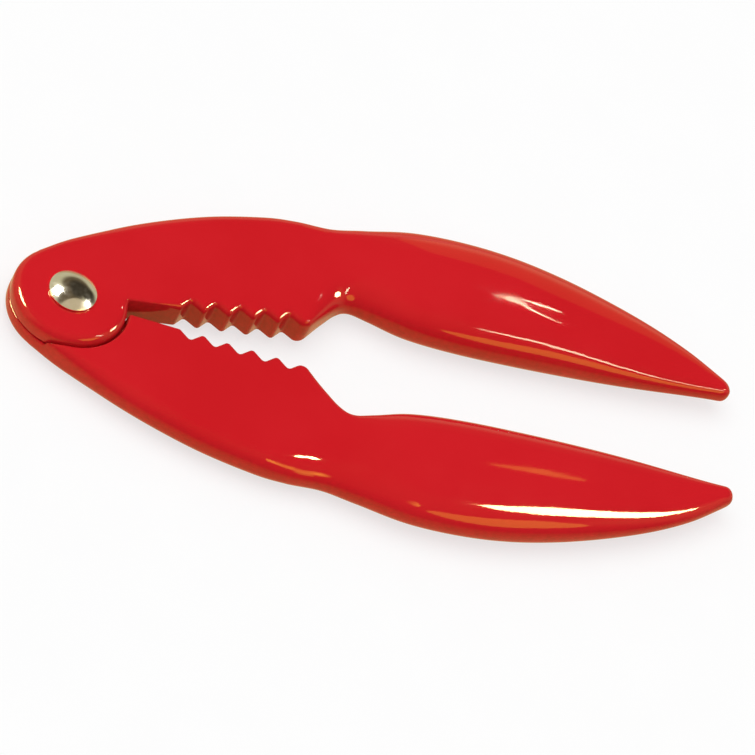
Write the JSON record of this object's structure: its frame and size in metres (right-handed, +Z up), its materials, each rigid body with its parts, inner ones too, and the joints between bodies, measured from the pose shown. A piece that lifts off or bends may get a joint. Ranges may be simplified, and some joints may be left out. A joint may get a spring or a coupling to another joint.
{
  "type": "lobster cracker",
  "caption": "Claw-shaped hinged seafood cracker with toothed jaws, crowned claw handles and a domed rivet, in glossy red enamel.",
  "frame": {"origin": "under the middle of the tool's box, on the table the tool lies on", "axes": "+X from the rivet to the claw tips along the middle line, +Y towards the upper arm, +Z up along the rivet towards its domed head"},
  "size_m": [0.1656, 0.0792, 0.0121],
  "materials": {
    "red_enamel": "glossy baked enamel over die-cast metal",
    "nickel_plate": "bright nickel plate, slightly warm"
  },
  "bodies": {
    "lower_arm": {"arm_lower": "red_enamel", "hinge_rivet": "nickel_plate"},
    "upper_arm": {"arm_upper": "red_enamel"}
  },
  "joints": [
    {"name": "arm_hinge", "type": "hinge", "parent": "lower_arm", "child": "upper_arm", "pos_m": [-0.0698, 0, 0.0056], "axis": [0, 0, 1], "range_deg": [-9.3, 134]}
  ]
}
